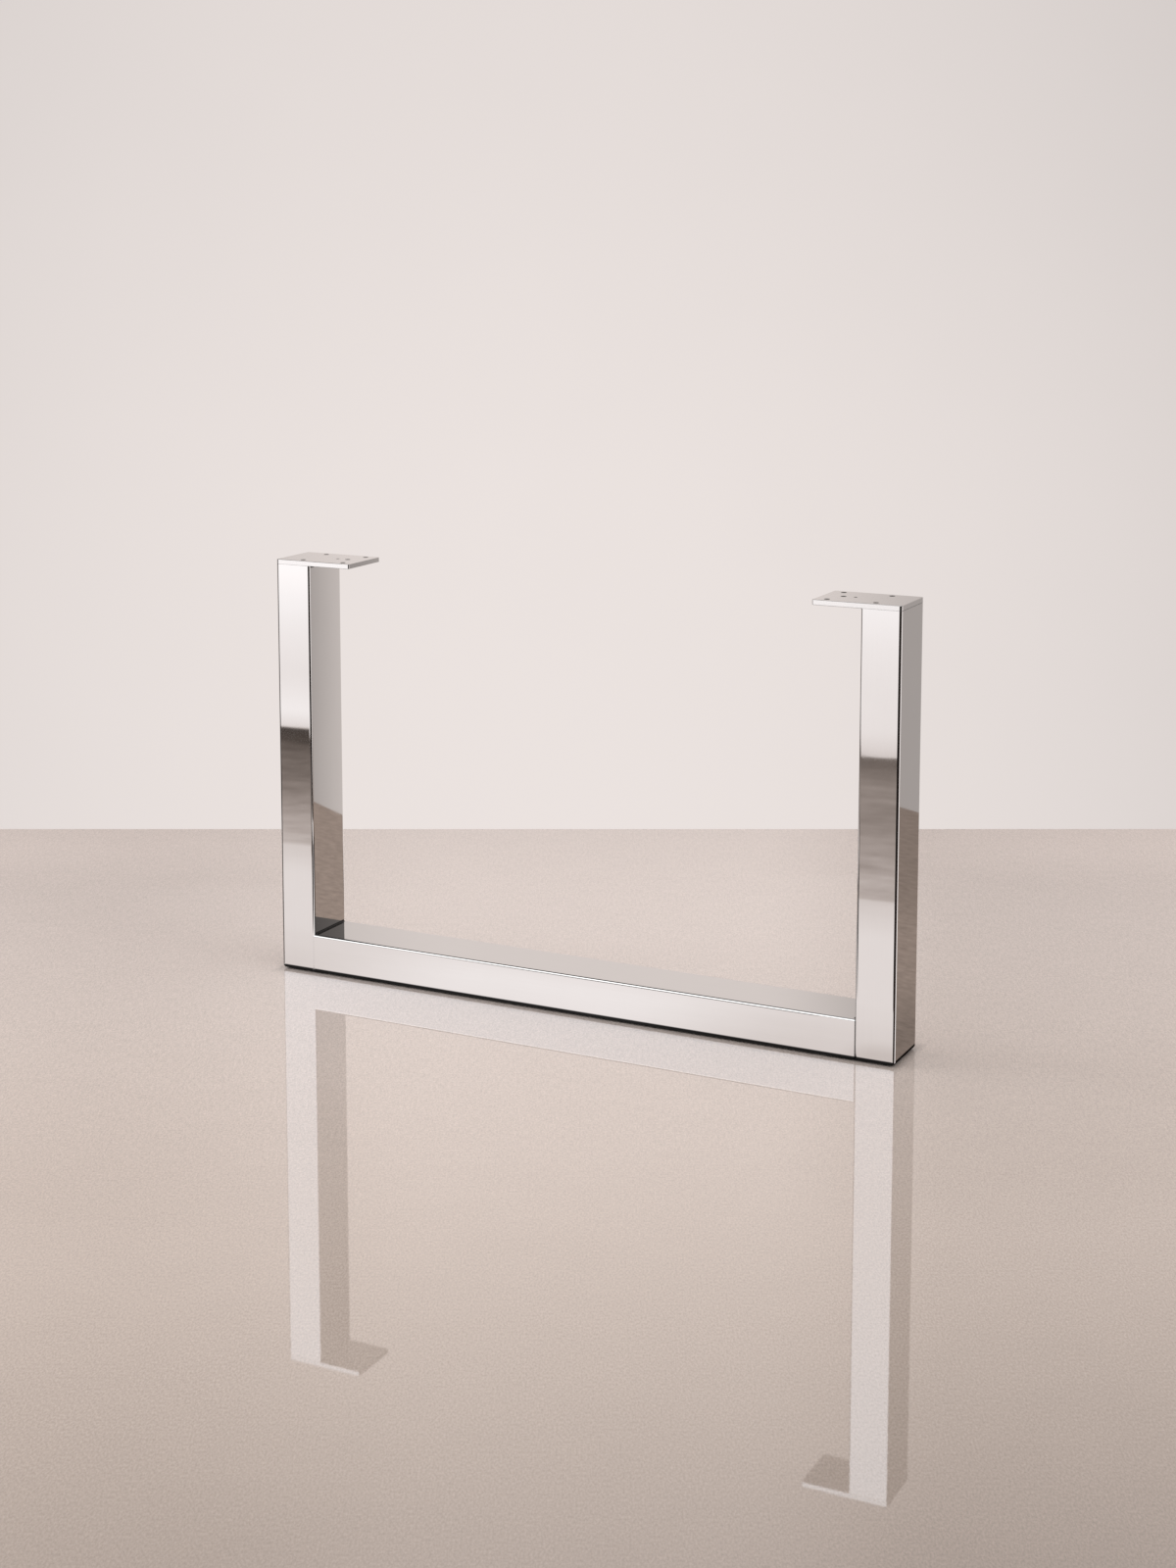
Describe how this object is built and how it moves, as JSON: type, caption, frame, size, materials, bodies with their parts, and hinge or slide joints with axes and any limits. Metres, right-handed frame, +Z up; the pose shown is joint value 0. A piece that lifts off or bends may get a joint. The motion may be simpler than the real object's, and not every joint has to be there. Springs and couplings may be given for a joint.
{
  "type": "u shaped table leg",
  "caption": "U-shaped table leg frame of polished rectangular tube, with a drilled mounting plate on top of each upright.",
  "frame": {"origin": "on the floor, under the middle of the frame", "axes": "+X along the U towards the right upright, +Y towards the back, +Z up"},
  "size_m": [0.68, 0.06, 0.436],
  "materials": {
    "polished_tube": "mirror polished",
    "polished_plate": "polished, with a fine lay on the upper face",
    "weld_metal": "dressed and polished",
    "strip_rubber": "matt black"
  },
  "bodies": {
    "root": {"left_upright": "polished_tube", "right_upright": "polished_tube", "bottom_rail": "polished_tube", "left_mounting_plate": "polished_plate", "right_mounting_plate": "polished_plate", "left_foot_cap": "polished_tube", "right_foot_cap": "polished_tube", "left_rail_weld": "weld_metal", "right_rail_weld": "weld_metal", "floor_strip": "strip_rubber"}
  },
  "joints": []
}
